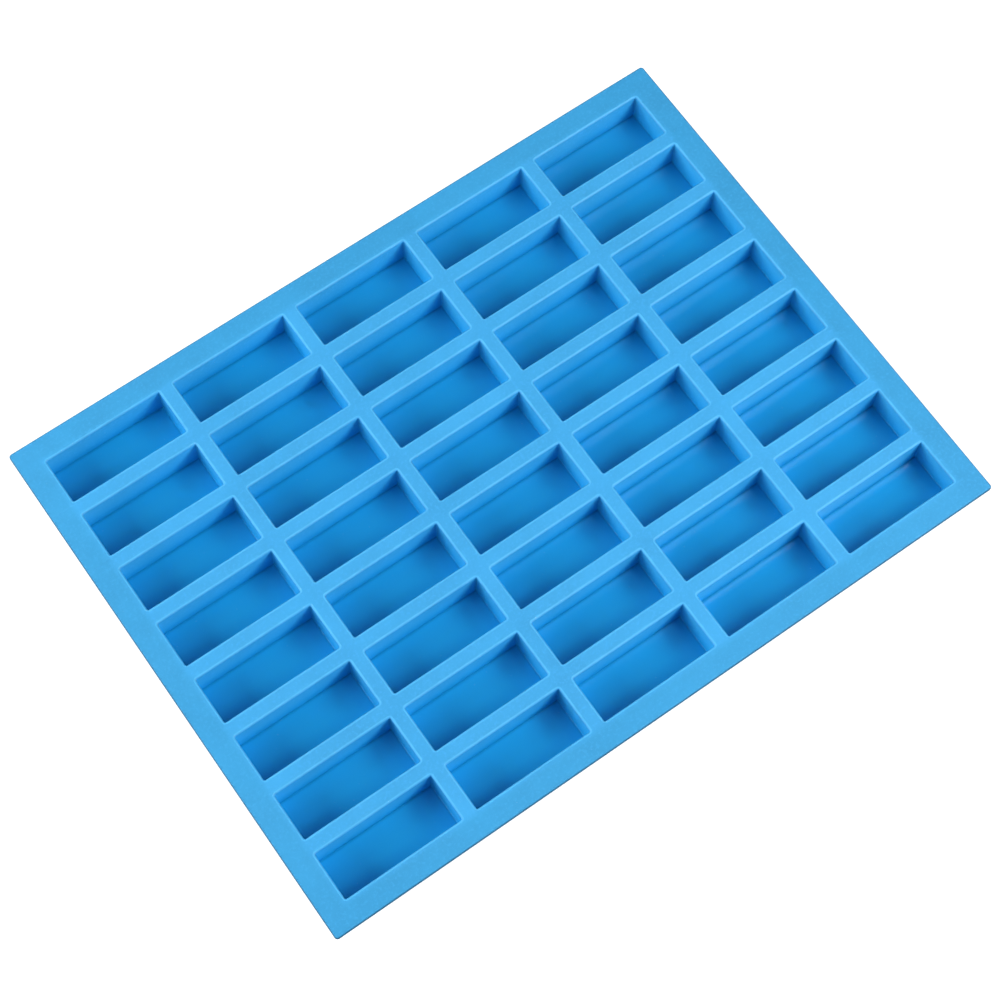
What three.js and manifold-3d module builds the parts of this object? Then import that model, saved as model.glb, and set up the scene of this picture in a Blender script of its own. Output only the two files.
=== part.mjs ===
// Flexible silicone mould for small soap bars: a flat deck with a grid of open cavities, each of them a thin
// cup that hangs below the deck. It is one moulding. Each row of cups with the deck around it stays nearly
// stiff, and the free webs between the rows bend, so each row and each web is modelled as a part of its own.
//
// Millimetres, +Z up. The origin is the centre of the plane that the cups stand on. X runs along the rows,
// row 1 is at the front (-Y) and column 1 at the left (-X).

import * as THREE from "three";
import { mergeVertices } from "three/addons/utils/BufferGeometryUtils.js";
import Module from "manifold-3d";

// Driving dimensions
const rowCount = 8;
const columnCount = 5;
const openingLength = 57; // a cavity's mouth along X
const openingWidth = 22.5; // and along Y
const cavityDepth = 15.25; // from the top of the deck to the cavity's floor
const ribWidth = 7.25; // deck between two neighbouring mouths
const endRimWidth = 12; // deck outside the outermost mouths, at the ends of the rows
const sideRimWidth = 11.5; // and in front of the first row and behind the last
const deckThickness = 2.25;
const wallThickness = 1.5;
const floorThickness = 1.75;
const draftSlope = 0.025; // how far a wall leans in for each millimetre down
const cavityCornerRadius = 0.75;
const rimCornerRadius = 1.5;
const cornerSegments = 1; // three.js draws each quarter circle with twice this many straight pieces

// Sizes that follow from them
const totalHeight = floorThickness + cavityDepth;
const deckUnderside = totalHeight - deckThickness;
const columnPitch = openingLength + ribWidth;
const rowPitch = openingWidth + ribWidth;
const deckLength = columnCount * openingLength + (columnCount - 1) * ribWidth + 2 * endRimWidth;
const stripHalfWidth = openingWidth / 2 + wallThickness; // a row's deck ends flush with its cups' walls
const webWidth = rowPitch - 2 * stripHalfWidth;

const wasm = await Module();
wasm.setup();

// A closed three.js geometry as a manifold-3d solid, for cutting.
function solidOf(geometry) {
  const bare = geometry.clone();
  bare.deleteAttribute("normal");
  bare.deleteAttribute("uv");
  const merged = mergeVertices(bare, 1e-4);
  return new wasm.Manifold(
    new wasm.Mesh({
      numProp: 3,
      vertProperties: merged.attributes.position.array,
      triVerts: new Uint32Array(merged.index.array),
    }),
  );
}

// A manifold-3d solid as a three.js geometry.
function geometryOf(solid) {
  const mesh = solid.getMesh();
  const geometry = new THREE.BufferGeometry();
  geometry.setAttribute("position", new THREE.BufferAttribute(mesh.vertProperties, 3));
  geometry.setIndex(new THREE.BufferAttribute(mesh.triVerts, 1));
  geometry.computeVertexNormals();
  return geometry;
}

// The outline of a rectangle from (left, front) to (right, back), with a corner radius at the front and at
// the back. A radius of 0 leaves those corners sharp.
function rectangle(left, front, right, back, frontRadius, backRadius) {
  const corners = [
    { x: left, y: front, radius: frontRadius, start: Math.PI, inX: 1, inY: 1 },
    { x: right, y: front, radius: frontRadius, start: 1.5 * Math.PI, inX: -1, inY: 1 },
    { x: right, y: back, radius: backRadius, start: 0, inX: -1, inY: -1 },
    { x: left, y: back, radius: backRadius, start: 0.5 * Math.PI, inX: 1, inY: -1 },
  ];
  const shape = new THREE.Shape();
  corners.forEach(({ x, y, radius, start, inX, inY }, i) => {
    if (radius > 0) {
      shape.absarc(x + inX * radius, y + inY * radius, radius, start, start + Math.PI / 2, false);
    } else if (i === 0) {
      shape.moveTo(x, y);
    } else {
      shape.lineTo(x, y);
    }
  });
  return shape;
}

// A block with drafted walls, from z = bottom to z = top. It is length x width where it meets the top of the
// deck, and leans in below that.
function draftedBlock(length, width, radius, bottom, top) {
  const outline = rectangle(-length / 2, -width / 2, length / 2, width / 2, radius, radius);
  const geometry = new THREE.ExtrudeGeometry(outline, {
    depth: top - bottom,
    bevelEnabled: false,
    curveSegments: cornerSegments,
  });
  geometry.translate(0, 0, bottom);
  const position = geometry.attributes.position;
  for (let i = 0; i < position.count; i += 1) {
    const lean = draftSlope * (totalHeight - position.getZ(i));
    const x = position.getX(i) * (1 - (2 * lean) / length);
    const y = position.getY(i) * (1 - (2 * lean) / width);
    position.setXY(i, x, y);
  }
  return solidOf(geometry);
}

// The space that one bar of soap is poured into, carried on above the deck so that it cuts cleanly.
function cavitySpace() {
  return draftedBlock(
    openingLength,
    openingWidth,
    cavityCornerRadius,
    floorThickness,
    totalHeight + deckThickness,
  );
}

// The walls and floor that hang below the deck around one cavity.
function cupGeometry() {
  const outside = draftedBlock(
    openingLength + 2 * wallThickness,
    openingWidth + 2 * wallThickness,
    cavityCornerRadius + wallThickness,
    0,
    deckUnderside,
  );
  return geometryOf(outside.subtract(cavitySpace()));
}

// X of a column's centre and Y of a row's centre, both counted from 1.
const columnX = (column) => (column - (columnCount + 1) / 2) * columnPitch;
const rowY = (row) => (row - (rowCount + 1) / 2) * rowPitch;

// The deck around one row's mouths, in that row's own frame. The first and last rows carry the rim.
function deckGeometry(row) {
  const isFirst = row === 1;
  const isLast = row === rowCount;
  const front = isFirst ? -openingWidth / 2 - sideRimWidth : -stripHalfWidth;
  const back = isLast ? openingWidth / 2 + sideRimWidth : stripHalfWidth;
  const outline = rectangle(
    -deckLength / 2,
    front,
    deckLength / 2,
    back,
    isFirst ? rimCornerRadius : 0,
    isLast ? rimCornerRadius : 0,
  );
  const sheet = new THREE.ExtrudeGeometry(outline, {
    depth: deckThickness,
    bevelEnabled: false,
    curveSegments: 2 * cornerSegments,
  });
  sheet.translate(0, 0, deckUnderside);
  let solid = solidOf(sheet);
  for (let column = 1; column <= columnCount; column += 1) {
    solid = solid.subtract(cavitySpace().translate([columnX(column), 0, 0]));
  }
  return geometryOf(solid);
}

// The deck's top is matt; the cavities are smoother, so that the bars come out clean.
const deckSilicone = () => new THREE.MeshStandardMaterial({ color: 0x3da2de, roughness: 0.55, metalness: 0 });
const cavitySilicone = () => new THREE.MeshStandardMaterial({ color: 0x30aae3, roughness: 0.2, metalness: 0 });

function namedMesh(name, geometry, material) {
  const mesh = new THREE.Mesh(geometry, material);
  mesh.name = name;
  return mesh;
}

const cup = cupGeometry();

// One row: its strip of deck and the cups below it.
function rowGroup(row) {
  const group = new THREE.Group();
  group.position.set(0, rowY(row), 0);
  group.add(namedMesh(`deck_row_${row}`, deckGeometry(row), deckSilicone()));
  for (let column = 1; column <= columnCount; column += 1) {
    const mesh = namedMesh(`cavity_cup_${row}_${column}`, cup, cavitySilicone());
    mesh.position.set(columnX(column), 0, 0);
    group.add(mesh);
  }
  return group;
}

// The free web between a row and the next one: the strip of deck with no cup wall under it, which bends.
function flexWeb(row) {
  const geometry = new THREE.BoxGeometry(deckLength, webWidth, deckThickness);
  const mesh = namedMesh(`flex_web_${row}_${row + 1}`, geometry, deckSilicone());
  mesh.position.set(0, rowY(row) + rowPitch / 2, totalHeight - deckThickness / 2);
  return mesh;
}

const mould = new THREE.Group();
for (let row = 1; row <= rowCount; row += 1) {
  mould.add(rowGroup(row));
  if (row < rowCount) {
    mould.add(flexWeb(row));
  }
}

export default mould;
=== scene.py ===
"""The looks of a one-piece silicone mould for small bars of soap.

The mould is one moulding, so the deck strips, cups and webs below are made to meet without a seam:
neighbours share the same edge points, surface slope and material. Everything is in metres, in the part's
own frame.
"""

import math

import bmesh
import bpy
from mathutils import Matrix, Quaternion, Vector
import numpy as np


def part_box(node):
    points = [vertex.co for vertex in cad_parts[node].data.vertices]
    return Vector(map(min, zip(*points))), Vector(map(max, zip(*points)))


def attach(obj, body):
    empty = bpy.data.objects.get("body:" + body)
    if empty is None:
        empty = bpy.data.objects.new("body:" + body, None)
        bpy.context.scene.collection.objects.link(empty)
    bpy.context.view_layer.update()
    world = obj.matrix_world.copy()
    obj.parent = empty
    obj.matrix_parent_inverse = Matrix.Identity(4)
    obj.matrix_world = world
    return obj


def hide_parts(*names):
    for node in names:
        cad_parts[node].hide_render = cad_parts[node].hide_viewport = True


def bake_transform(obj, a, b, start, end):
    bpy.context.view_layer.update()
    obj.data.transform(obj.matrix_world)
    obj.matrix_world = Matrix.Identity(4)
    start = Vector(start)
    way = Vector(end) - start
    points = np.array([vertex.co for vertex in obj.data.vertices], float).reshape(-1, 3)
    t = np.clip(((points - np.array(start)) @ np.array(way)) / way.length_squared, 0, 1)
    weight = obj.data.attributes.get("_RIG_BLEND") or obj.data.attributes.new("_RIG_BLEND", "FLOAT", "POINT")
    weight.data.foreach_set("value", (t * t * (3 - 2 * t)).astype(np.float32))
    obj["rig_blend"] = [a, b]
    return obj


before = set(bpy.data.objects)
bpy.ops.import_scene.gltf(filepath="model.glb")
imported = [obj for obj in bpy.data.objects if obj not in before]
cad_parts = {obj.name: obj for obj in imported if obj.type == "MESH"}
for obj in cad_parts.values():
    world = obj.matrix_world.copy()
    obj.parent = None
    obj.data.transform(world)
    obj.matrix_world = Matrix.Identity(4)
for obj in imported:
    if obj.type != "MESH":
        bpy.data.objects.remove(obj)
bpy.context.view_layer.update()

MM = 0.001

# ---------------------------------------------------------------- Sizes

ROWS = 8
COLUMNS = 5
WALL = 1.5 * MM  # a cup's wall, outside the cavity
FLOOR = 1.75 * MM  # a cup's floor
DRAFT = 0.025  # how far a wall leans in for each unit down
CAVITY_CORNER = 0.75 * MM  # upright corners of a cavity, at the mouth
RIM_CORNER = 1.5 * MM  # the deck's four outer corners
LIP = 0.8 * MM  # rounding of a mouth's edge
EDGE = 0.6 * MM  # rounding of the deck's outer edges
CREASE_SHADE_REACH = 1.2 * MM  # how far the painted crease shade reaches from the joint between a cavity's walls and floor
END_CREASE_SHADE = 0.55  # painted crease shade along a floor's short ends, against that along its long sides
FLOOR_FILLET = 0.3 * MM  # rounding between a cavity's walls and floor
FOOT = 0.9 * MM  # rounding between a cup's outside and its underside
SUPPORT = 0.3 * MM  # a narrow flat band beside each rounding, which keeps the wide flats flat
CORNER_STEPS = 6  # straight pieces in an upright quarter-round corner
ROUNDING_STEPS = 4  # straight pieces across a lip, edge, fillet or foot
WEB_STEPS = 12  # pieces across a web, for it to bend with
SMALLEST_RADIUS = 0.06 * MM  # of an upright corner, where the draft would take it to nothing
SHARP_ANGLE = math.radians(35)  # steeper edges than this are shaded as sharp ones

deck_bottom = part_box("deck_row_1")[0].z
deck_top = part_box("deck_row_1")[1].z
half_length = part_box("deck_row_1")[1].x
cup_low, cup_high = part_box("cavity_cup_1_1")
# The box of a cup is that of its widest level, just under the deck.
lean_at_deck = DRAFT * (deck_top - deck_bottom)
mouth_half_x = (cup_high.x - cup_low.x) / 2 - WALL + lean_at_deck
mouth_half_y = (cup_high.y - cup_low.y) / 2 - WALL + lean_at_deck
# The outermost mouths end this far from the middle.
mouths_half_x = -(cup_low.x + WALL - lean_at_deck)
mouths_half_y = -(cup_low.y + WALL - lean_at_deck)


def cup_centre(row, column):
    low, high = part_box(f"cavity_cup_{row}_{column}")
    return (low + high) / 2


# ---------------------------------------------------------------- Camera

SENSOR_WIDTH = 36  # in millimetres, as Blender wants it, and so is the lens


def towards(azimuth, elevation):
    """The direction from the mould to whoever looks at it. Azimuth 0 looks along +Y."""
    a, e = math.radians(azimuth), math.radians(elevation)
    return Vector((math.sin(a) * math.cos(e), -math.cos(a) * math.cos(e), math.sin(e)))


def make_camera(aim, azimuth, elevation, roll, distance, lens):
    """A camera that looks at aim. Roll turns the picture about the line of sight."""
    back = towards(azimuth, elevation)
    camera = bpy.data.objects.new("camera", bpy.data.cameras.new("camera"))
    bpy.context.scene.collection.objects.link(camera)
    camera.location = aim + distance * back
    camera.rotation_mode = "QUATERNION"
    level = (-back).to_track_quat("-Z", "Y")
    camera.rotation_quaternion = level @ Quaternion((0, 0, 1), math.radians(roll))
    camera.data.sensor_width = SENSOR_WIDTH
    camera.data.lens = lens
    camera.data.clip_start = 0.01
    camera.data.clip_end = 100
    bpy.context.scene.camera = camera


make_camera(
    aim=Vector((-7.5 * MM, -11.3 * MM, deck_top)),
    azimuth=-36.46,
    elevation=68.95,
    roll=1.41,
    distance=1.0027,
    lens=84.4,
)

# ---------------------------------------------------------------- Materials


class Nodes:
    """A short way to write a node material. Patterns are read at the point's place on the mould at rest."""

    def __init__(self, name):
        self.material = bpy.data.materials.new(name)
        self.material.use_nodes = True
        self.tree = self.material.node_tree
        self.shader = self.tree.nodes["Principled BSDF"]
        self.place = self.add("ShaderNodeAttribute", attribute_name="rest_place").outputs["Vector"]

    def add(self, kind, inputs=None, **settings):
        node = self.tree.nodes.new(kind)
        for key, value in settings.items():
            setattr(node, key, value)
        for key, value in (inputs or {}).items():
            self.put(value, node.inputs[key])
        return node

    def put(self, value, socket):
        if isinstance(value, bpy.types.NodeSocket):
            self.tree.links.new(value, socket)
        else:
            socket.default_value = value

    def noise(self, size, detail=2.0, roughness=0.5):
        """Soft noise from 0 to 1, with lumps of about this size."""
        node = self.add(
            "ShaderNodeTexNoise",
            {"Vector": self.place, "Scale": 1 / size, "Detail": detail, "Roughness": roughness},
        )
        return node.outputs["Fac"]

    def mark(self, name):
        """One of the marks that the mesh carries, 0 to 1."""
        return self.add("ShaderNodeAttribute", attribute_name=name).outputs["Fac"]

    def along(self, axis):
        return self.add("ShaderNodeSeparateXYZ", {"Vector": self.place}).outputs[axis]

    def beyond(self, axis, distance, width):
        """From 0 to 1 as the point gets from distance to distance + width away from the middle."""
        return self.spread(self.math("ABSOLUTE", self.along(axis), 0), distance, distance + width)

    def spread(self, value, low, high, to_low=0.0, to_high=1.0):
        """value from low to high, mapped to to_low to to_high and clamped."""
        node = self.add(
            "ShaderNodeMapRange",
            {"Value": value, "From Min": low, "From Max": high, "To Min": to_low, "To Max": to_high},
        )
        return node.outputs["Result"]

    def math(self, operation, a, b):
        return self.add("ShaderNodeMath", {0: a, 1: b}, operation=operation).outputs["Value"]

    def mix(self, amount, a, b, blend="MIX"):
        """Colour a turning to colour b as amount goes from 0 to 1."""
        node = self.add("ShaderNodeMix", data_type="RGBA", blend_type=blend)
        for socket, value in (("Factor_Float", amount), ("A_Color", a), ("B_Color", b)):
            self.put(value, next(s for s in node.inputs if s.identifier == socket))
        return next(s for s in node.outputs if s.identifier == "Result_Color")

    def tint(self, amount, colour, gains):
        """The colour with gains on its red, green and blue, as far as amount says."""
        return self.mix(amount, colour, (*gains, 1), blend="MULTIPLY")

    def bump(self, height, distance, normal=None):
        """The normal of a surface that rises by distance as height goes from 0 to 1."""
        node = self.add("ShaderNodeBump", {"Height": height, "Distance": distance, "Strength": 1.0})
        if normal is not None:
            self.put(normal, node.inputs["Normal"])
        return node.outputs["Normal"]

    def finish(self, **inputs):
        for key, value in inputs.items():
            self.put(value, self.shader.inputs[key.replace("_", " ")])
        return self.material


# Gains on red, green and blue, from the colour of the flats to that of another region
RIM_SHADE_TINT = (0.82, 0.90, 0.88)
LIP_HIGHLIGHT_TINT = (1.9, 1.35, 1.2)
CREASE_SHADE_TINT = (0.43, 0.70, 0.74)
EDGE_SHADE_TINT = (0.25, 0.25, 0.25)
RIM_FADE = 3 * MM  # how wide the change is from the ribs to the rim

# How large the lumps of each pattern are
CLOUDS = 40 * MM  # lighter and darker clouds in the pigment
SPECKS = 1.4 * MM  # pale specks in the pigment
PATCHES = 22 * MM  # duller and shinier patches
HIGHLIGHT_LENGTHS = 9 * MM  # brighter stretches of a lip's painted highlight
FLASH_LENGTHS = 14 * MM  # stretches of a lip that carry flash
FLECKS = 0.55 * MM  # dust and flash
WAVES = 30 * MM  # slow waves in the surface

WAVE_DEPTH = 0.25 * MM
FLECK_DEPTH = 0.06 * MM
FLECK_COLOUR = (0.45, 0.72, 0.90, 1)
SILICONE_IOR = 1.41


def tone(colour, gain, lift=0.0):
    """An opaque colour: this one times a gain, and lifted a little towards white."""
    return (*[c * gain + lift for c in colour], 1)


def pigment(n, colour, floor_shade_colour):
    """Cloudy colour with pale specks.

    With a floor shade colour, it turns to that one from the mouth of a cavity down to the floor: painted
    shade, darker and more saturated down in the cavity.
    """
    clouds = n.spread(n.noise(CLOUDS, detail=7, roughness=0.72), 0.3, 0.7)
    body = n.mix(clouds, tone(colour, 0.91), tone(colour, 1.075))
    specks = n.spread(n.noise(SPECKS, detail=3, roughness=0.65), 0.5, 0.75, 0, 0.8)
    body = n.mix(specks, body, tone(colour, 1.12, lift=0.01))
    if floor_shade_colour:
        body = n.mix(n.spread(n.along("Z"), deck_top - LIP, FLOOR), body, (*floor_shade_colour, 1))
    return body


def flecks(n, lip):
    """Dust anywhere, which shows faintly, and flecks of flash on some stretches of the lips."""
    noise = n.noise(FLECKS, detail=1)
    dust = n.spread(noise, 0.80, 0.83)
    flash = n.math("MULTIPLY", n.spread(noise, 0.71, 0.75), lip)
    flash = n.math("MULTIPLY", flash, n.spread(n.noise(FLASH_LENGTHS), 0.52, 0.62))
    return n.math("MAXIMUM", n.math("MULTIPLY", dust, 0.5), flash)


def silicone(name, colour, roughness, grain_size, grain_depth, floor_shade_colour=None):
    """Pigmented silicone with a moulded grain, and with what each region of the mould does to it."""
    n = Nodes(name)
    lip, joint, trim = n.mark("lip"), n.mark("joint"), n.mark("trim")
    body = pigment(n, colour, floor_shade_colour)
    # The rim is painted darker than the ribs: painted shade, since a single thin sheet scatters less light
    # back than the ribs, with a cup on each side.
    rim_x = n.beyond("X", mouths_half_x, RIM_FADE)
    rim_y = n.beyond("Y", mouths_half_y, RIM_FADE)
    body = n.tint(n.math("MAXIMUM", rim_x, rim_y), body, RIM_SHADE_TINT)
    # Painted shade darkens the crease where a cavity's walls meet its floor.
    body = n.tint(joint, body, CREASE_SHADE_TINT)
    # The lips are painted lighter: a painted highlight along their rounding.
    lip_highlight = (*[c * gain for c, gain in zip(colour, LIP_HIGHLIGHT_TINT)], 1)
    brightness = n.spread(n.noise(HIGHLIGHT_LENGTHS), 0.35, 0.65, 0.6, 1.0)
    body = n.mix(n.math("MULTIPLY", lip, brightness), body, lip_highlight)
    # Painted shade darkens the deck's outside edge: its side face, fading over its roundings.
    body = n.tint(trim, body, EDGE_SHADE_TINT)
    fleck = flecks(n, lip)
    body = n.mix(fleck, body, FLECK_COLOUR)

    # Handling leaves faint duller and shinier patches. The lips are shinier, and the crease under its
    # painted shade is duller.
    patches = n.noise(PATCHES, detail=4, roughness=0.6)
    rough = n.spread(patches, 0.3, 0.7, roughness - 0.05, roughness + 0.05)
    rough = n.math("SUBTRACT", rough, n.math("MULTIPLY", lip, 0.10))
    rough = n.math("ADD", rough, n.math("MULTIPLY", joint, 0.15))
    # The painted shade on the outside edge and in the crease hardly reflects.
    specular = n.spread(n.math("MAXIMUM", trim, joint), 0, 1, 0.5, 0.05)

    normal = n.bump(n.noise(WAVES, detail=1), WAVE_DEPTH)
    normal = n.bump(n.noise(grain_size, detail=2), grain_depth, normal)
    normal = n.bump(fleck, FLECK_DEPTH, normal)
    return n.finish(
        Base_Color=body,
        Roughness=rough,
        Specular_IOR_Level=specular,
        Normal=normal,
        IOR=SILICONE_IOR,
    )


# The deck's top is blasted matt in the tool, and the cavities are polished so that the bars come out clean.
deck_material = silicone(
    "deck_silicone",
    colour=(0.046, 0.361, 0.732),
    roughness=0.55,
    grain_size=0.45 * MM,
    grain_depth=0.020 * MM,
)
cavity_material = silicone(
    "cavity_silicone",
    colour=(0.056, 0.428, 0.775),
    # painted shade: darker and more saturated down at the cavity floor
    floor_shade_colour=(0.013, 0.378, 0.757),
    roughness=0.18,
    grain_size=0.8 * MM,
    grain_depth=0.002 * MM,
)

# ---------------------------------------------------------------- Mesh tools


class Shell:
    """A closed mesh made of loops of points that are joined one to the next.

    Each point says how far it belongs to a mouth's lip, to the painted shade on the deck's outside edge, and
    to the painted shade in the joint between a cavity's walls and floor.
    """

    def __init__(self):
        self.bm = bmesh.new()
        layers = self.bm.verts.layers.float
        self.marks = {name: layers.new(name) for name in ("lip", "trim", "joint")}

    def loop(self, points, **marks):
        """A loop of new points. A mark is one number for all of them, or one for each."""
        verts = [self.bm.verts.new(p) for p in points]
        for name, values in marks.items():
            for i, v in enumerate(verts):
                v[self.marks[name]] = values[i] if isinstance(values, list) else values
        return verts

    def join(self, a, b, material=0):
        """Faces between two loops that have the same number of points."""
        for i in range(len(a)):
            j = (i + 1) % len(a)
            face = self.bm.faces.new((a[i], a[j], b[j], b[i]))
            face.material_index = material

    def join_all(self, loops, material=0):
        for a, b in zip(loops, loops[1:]):
            self.join(a, b, material)

    def cap(self, loop, material=0):
        self.bm.faces.new(loop).material_index = material

    def fill(self, outline, holes):
        """The flat face inside outline and outside the holes."""
        edges = []
        for loop in (outline, *holes):
            for i in range(len(loop)):
                pair = (loop[i], loop[(i + 1) % len(loop)])
                edges.append(self.bm.edges.get(pair) or self.bm.edges.new(pair))
        bmesh.ops.triangle_fill(self.bm, edges=edges, use_beauty=True)

    def piece(self, name, materials):
        bmesh.ops.recalc_face_normals(self.bm, faces=self.bm.faces)
        mesh = bpy.data.meshes.new(name)
        self.bm.to_mesh(mesh)
        self.bm.free()
        mesh.polygons.foreach_set("use_smooth", [True] * len(mesh.polygons))
        mesh.set_sharp_from_angle(angle=SHARP_ANGLE)
        places = mesh.attributes.new("rest_place", "FLOAT_VECTOR", "POINT")
        places.data.foreach_set("vector", [x for v in mesh.vertices for x in v.co])
        for material in materials:
            mesh.materials.append(material)
        piece = bpy.data.objects.new(name, mesh)
        bpy.context.scene.collection.objects.link(piece)
        return piece


def corner_angle(quarter, step):
    return (quarter + step / CORNER_STEPS) * math.pi / 2


def rectangle(left, front, right, back, z, front_radius, back_radius):
    """The outline of a rectangle at height z, anticlockwise from above.

    A radius of 0 leaves a corner sharp.
    """
    corners = (
        (right, back, -1, -1, back_radius),
        (left, back, 1, -1, back_radius),
        (left, front, 1, 1, front_radius),
        (right, front, -1, 1, front_radius),
    )
    points = []
    for quarter, (x, y, in_x, in_y, radius) in enumerate(corners):
        if radius == 0:
            points.append(Vector((x, y, z)))
            continue
        for step in range(CORNER_STEPS + 1):
            angle = corner_angle(quarter, step)
            arc_x = x + radius * (in_x + math.cos(angle))
            arc_y = y + radius * (in_y + math.sin(angle))
            points.append(Vector((arc_x, arc_y, z)))
    return points


def quarter_turn():
    """Sine and cosine at even steps over a quarter turn."""
    angles = [step / ROUNDING_STEPS * math.pi / 2 for step in range(ROUNDING_STEPS + 1)]
    return [(math.sin(angle), math.cos(angle)) for angle in angles]


# ---------------------------------------------------------------- Deck strips


def edge_profile():
    """(inset, height, painted edge shade) down the deck's outer edge, from the top's flat to the
    underside's.
    """
    top = [(EDGE * (1 - s), deck_top - EDGE * (1 - c), s) for s, c in quarter_turn()]
    bottom = [(EDGE * (1 - c), deck_bottom + EDGE * (1 - s), c) for s, c in quarter_turn()]
    flat = EDGE + SUPPORT
    return [(flat, deck_top, 0), *top, *bottom, (flat, deck_bottom, 0)]


def cavity_outline(centre, spread, z):
    """The outline at height z that lies spread outside the mouth's line, less the draft at that height."""
    out = spread - DRAFT * (deck_top - z)
    radius = max(CAVITY_CORNER + out, SMALLEST_RADIUS)
    x, y = mouth_half_x + out, mouth_half_y + out
    return rectangle(centre.x - x, centre.y - y, centre.x + x, centre.y + y, z, radius, radius)


def make_mouth(shell, centre):
    """One mouth's lip and the wall below it, through the deck.

    Returns its loops on the deck's top and underside.
    """
    top = shell.loop(cavity_outline(centre, LIP + SUPPORT, deck_top))
    # The painted highlight is at the top of the rounding and fades down it.
    lips = [
        shell.loop(cavity_outline(centre, LIP * (1 - s), deck_top - LIP * (1 - c)), lip=1 - s**2)
        for s, c in quarter_turn()
    ]
    below = shell.loop(cavity_outline(centre, 0, deck_top - LIP - SUPPORT))
    bottom = shell.loop(cavity_outline(centre, 0, deck_bottom))
    shell.join_all([top, *lips])
    shell.join_all([lips[-1], below, bottom], material=1)
    return top, bottom


def make_deck_strip(row):
    """The deck around one row's mouths. The first and last rows carry the rims in front and behind."""
    low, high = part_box(f"deck_row_{row}")
    is_first, is_last = row == 1, row == ROWS
    shell = Shell()
    edges = []
    for inset, z, trim in edge_profile():
        # Where a side is not an outer edge it stays upright, with a narrow flat band above and below.
        inner = SUPPORT if inset > EDGE else 0
        outline = rectangle(
            low.x + inset,
            low.y + (inset if is_first else inner),
            high.x - inset,
            high.y - (inset if is_last else inner),
            z,
            (RIM_CORNER - inset) * is_first,
            (RIM_CORNER - inset) * is_last,
        )
        edges.append(shell.loop(outline, trim=trim))
    shell.join_all(edges)
    mouths = [make_mouth(shell, cup_centre(row, column)) for column in range(1, COLUMNS + 1)]
    shell.fill(edges[0], [top for top, _ in mouths])
    shell.fill(edges[-1], [bottom for _, bottom in mouths])
    strip = shell.piece(f"deck_strip_{row}", [deck_material, cavity_material])
    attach(strip, f"row_{row}")
    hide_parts(f"deck_row_{row}")


# ---------------------------------------------------------------- Cups


def crease_shade_marks():
    """How strong the painted crease shade is at each point of a cavity's outline, in the outline's own
    order.
    """
    marks = []
    for quarter in range(4):
        for step in range(CORNER_STEPS + 1):
            # 1 on the long sides, 0 on the short ends
            long_side = math.sin(corner_angle(quarter, step)) ** 2
            marks.append(END_CREASE_SHADE + (1 - END_CREASE_SHADE) * long_side)
    return marks


def make_cup(row, column):
    """The walls and floor below the deck around one cavity."""
    centre = cup_centre(row, column)
    shell = Shell()
    inside = [shell.loop(cavity_outline(centre, 0, deck_bottom))]
    inside.append(shell.loop(cavity_outline(centre, 0, FLOOR + CREASE_SHADE_REACH)))
    for s, c in quarter_turn():
        fillet = cavity_outline(centre, -FLOOR_FILLET * (1 - c), FLOOR + FLOOR_FILLET * (1 - s))
        inside.append(shell.loop(fillet, joint=crease_shade_marks()))
    inside.append(shell.loop(cavity_outline(centre, -CREASE_SHADE_REACH, FLOOR)))
    outside = [shell.loop(cavity_outline(centre, WALL, deck_bottom))]
    for s, c in quarter_turn():
        outside.append(shell.loop(cavity_outline(centre, WALL - FOOT * (1 - c), FOOT * (1 - s))))
    outside.append(shell.loop(cavity_outline(centre, WALL - FOOT - SUPPORT, 0)))
    shell.join_all(inside, material=1)
    shell.join(inside[0], outside[0])
    shell.join_all(outside)
    shell.cap(inside[-1], material=1)
    shell.cap(outside[-1])
    cup = shell.piece(f"soap_cup_{row}_{column}", [deck_material, cavity_material])
    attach(cup, f"row_{row}")
    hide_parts(f"cavity_cup_{row}_{column}")


# ---------------------------------------------------------------- Webs


def make_web(row):
    """The strip of deck between this row and the next, which bends about the joint along its middle."""
    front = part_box(f"deck_row_{row}")[1].y
    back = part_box(f"deck_row_{row + 1}")[0].y
    profile = edge_profile()
    right = [(half_length - inset, z) for inset, z, _ in profile]
    left = [(inset - half_length, z) for inset, z, _ in reversed(profile)]
    trim = [t for _, _, t in profile]
    trim += trim[::-1]
    shell = Shell()
    sections = []
    for step in range(WEB_STEPS + 1):
        y = front + (back - front) * step / WEB_STEPS
        sections.append(shell.loop([Vector((x, y, z)) for x, z in right + left], trim=trim))
    shell.join_all(sections)
    shell.cap(sections[0])
    shell.cap(sections[-1])
    web = shell.piece(f"bending_web_{row}_{row + 1}", [deck_material])
    middle = (deck_top + deck_bottom) / 2
    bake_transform(web, f"row_{row}", f"row_{row + 1}", start=(0, front, middle), end=(0, back, middle))
    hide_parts(f"flex_web_{row}_{row + 1}")


for row in range(1, ROWS + 1):
    make_deck_strip(row)
    for column in range(1, COLUMNS + 1):
        make_cup(row, column)
    if row < ROWS:
        make_web(row)

# ---------------------------------------------------------------- Stage

FLOOR_HALF = 15.0  # far enough for its edge to be out of sight
FLOOR_GAP = 0.05 * MM  # between the floor and the cups' undersides
FLOOR_GREY = 0.3
TABLE_GLOW = 0.86  # the floor's own light
BACKDROP_GLOW = 0.88  # that of the table, with what little it reflects far off
AMBIENT = 0.1  # light from all round


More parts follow.
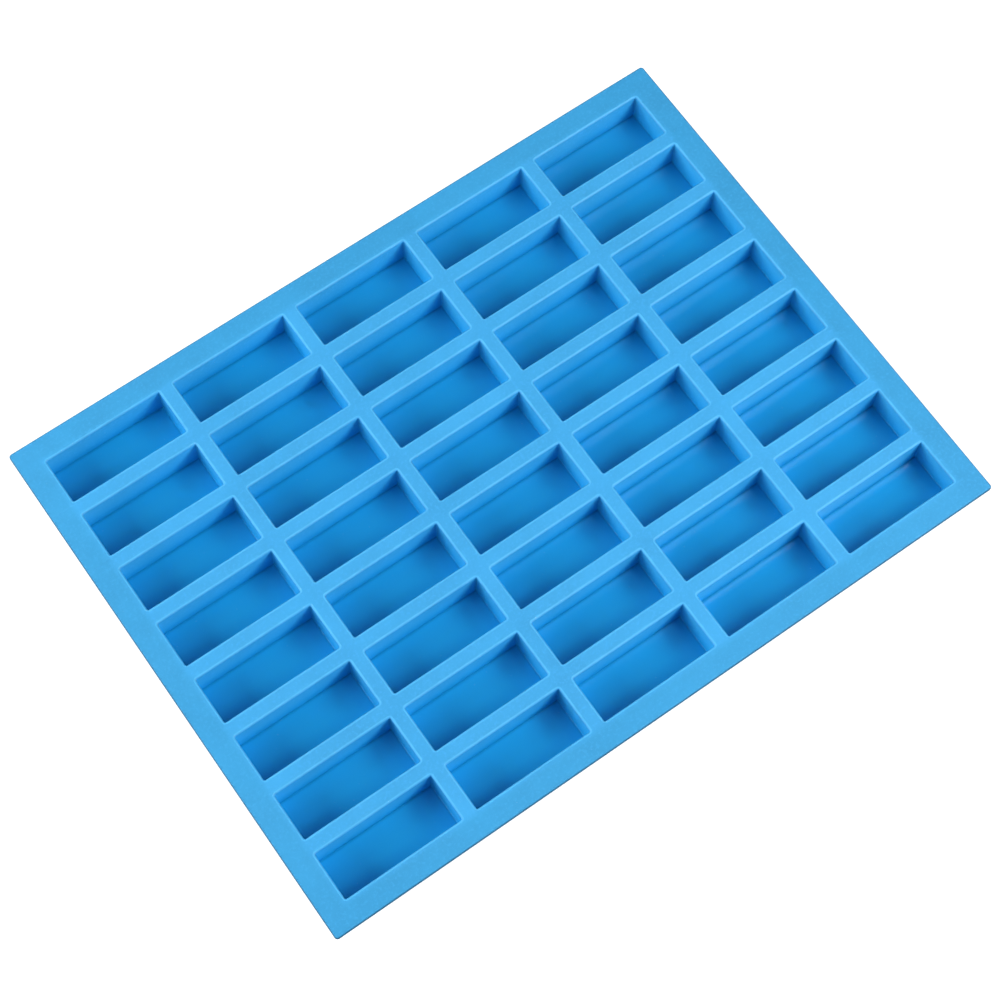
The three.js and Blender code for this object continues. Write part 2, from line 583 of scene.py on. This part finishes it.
def make_floor():
    """A pale sheet lit from below, as on a light table, so that shadows on it are faint."""
    mesh = bpy.data.meshes.new("floor")
    corners = [(-1, -1), (1, -1), (1, 1), (-1, 1)]
    mesh.from_pydata([(x * FLOOR_HALF, y * FLOOR_HALF, -FLOOR_GAP) for x, y in corners], [], [(0, 1, 2, 3)])
    material = bpy.data.materials.new("floor")
    material.use_nodes = True
    shader = material.node_tree.nodes["Principled BSDF"]
    shader.inputs["Base Color"].default_value = (FLOOR_GREY, FLOOR_GREY, FLOOR_GREY, 1)
    shader.inputs["Roughness"].default_value = 0.9
    shader.inputs["Emission Color"].default_value = (1, 1, 1, 1)
    shader.inputs["Emission Strength"].default_value = TABLE_GLOW
    mesh.materials.append(material)
    floor = bpy.data.objects.new("floor", mesh)
    bpy.context.scene.collection.objects.link(floor)


def make_softbox(name, azimuth, elevation, watts, side=0.5, distance=1.3):
    """A square soft light that faces the mould. Its azimuth is counted as the camera's is."""
    back = towards(azimuth, elevation)
    data = bpy.data.lights.new(name, "AREA")
    data.shape = "SQUARE"
    data.size = side
    data.energy = watts
    light = bpy.data.objects.new(name, data)
    light.location = distance * back
    light.rotation_mode = "QUATERNION"
    light.rotation_quaternion = (-back).to_track_quat("-Z", "Y")
    bpy.context.scene.collection.objects.link(light)


def make_world():
    """A little light from all round.

    Beyond the floor the camera sees the floor's pale grey, which lights nothing.
    """
    world = bpy.data.worlds.new("studio")
    world.use_nodes = True
    background = world.node_tree.nodes["Background"]
    background.inputs["Color"].default_value = (1, 1, 1, 1)
    seen = world.node_tree.nodes.new("ShaderNodeLightPath")
    strength = world.node_tree.nodes.new("ShaderNodeMapRange")
    strength.inputs["To Min"].default_value = AMBIENT
    strength.inputs["To Max"].default_value = BACKDROP_GLOW
    world.node_tree.links.new(seen.outputs["Is Camera Ray"], strength.inputs["Value"])
    world.node_tree.links.new(strength.outputs["Result"], background.inputs["Strength"])
    bpy.context.scene.world = world


make_floor()
make_world()
make_softbox("back_left_softbox", azimuth=-150, elevation=28, watts=6.9)
make_softbox("left_softbox", azimuth=-110, elevation=25, watts=8.5)
make_softbox("side_softbox", azimuth=-90, elevation=28, watts=3.2)
make_softbox("right_softbox", azimuth=55, elevation=42, watts=8.5)
make_softbox("high_right_softbox", azimuth=68, elevation=68, watts=7.5, side=0.6, distance=3)
make_softbox("front_softbox", azimuth=25, elevation=30, watts=7.9)
bpy.context.scene.view_settings.view_transform = "Standard"
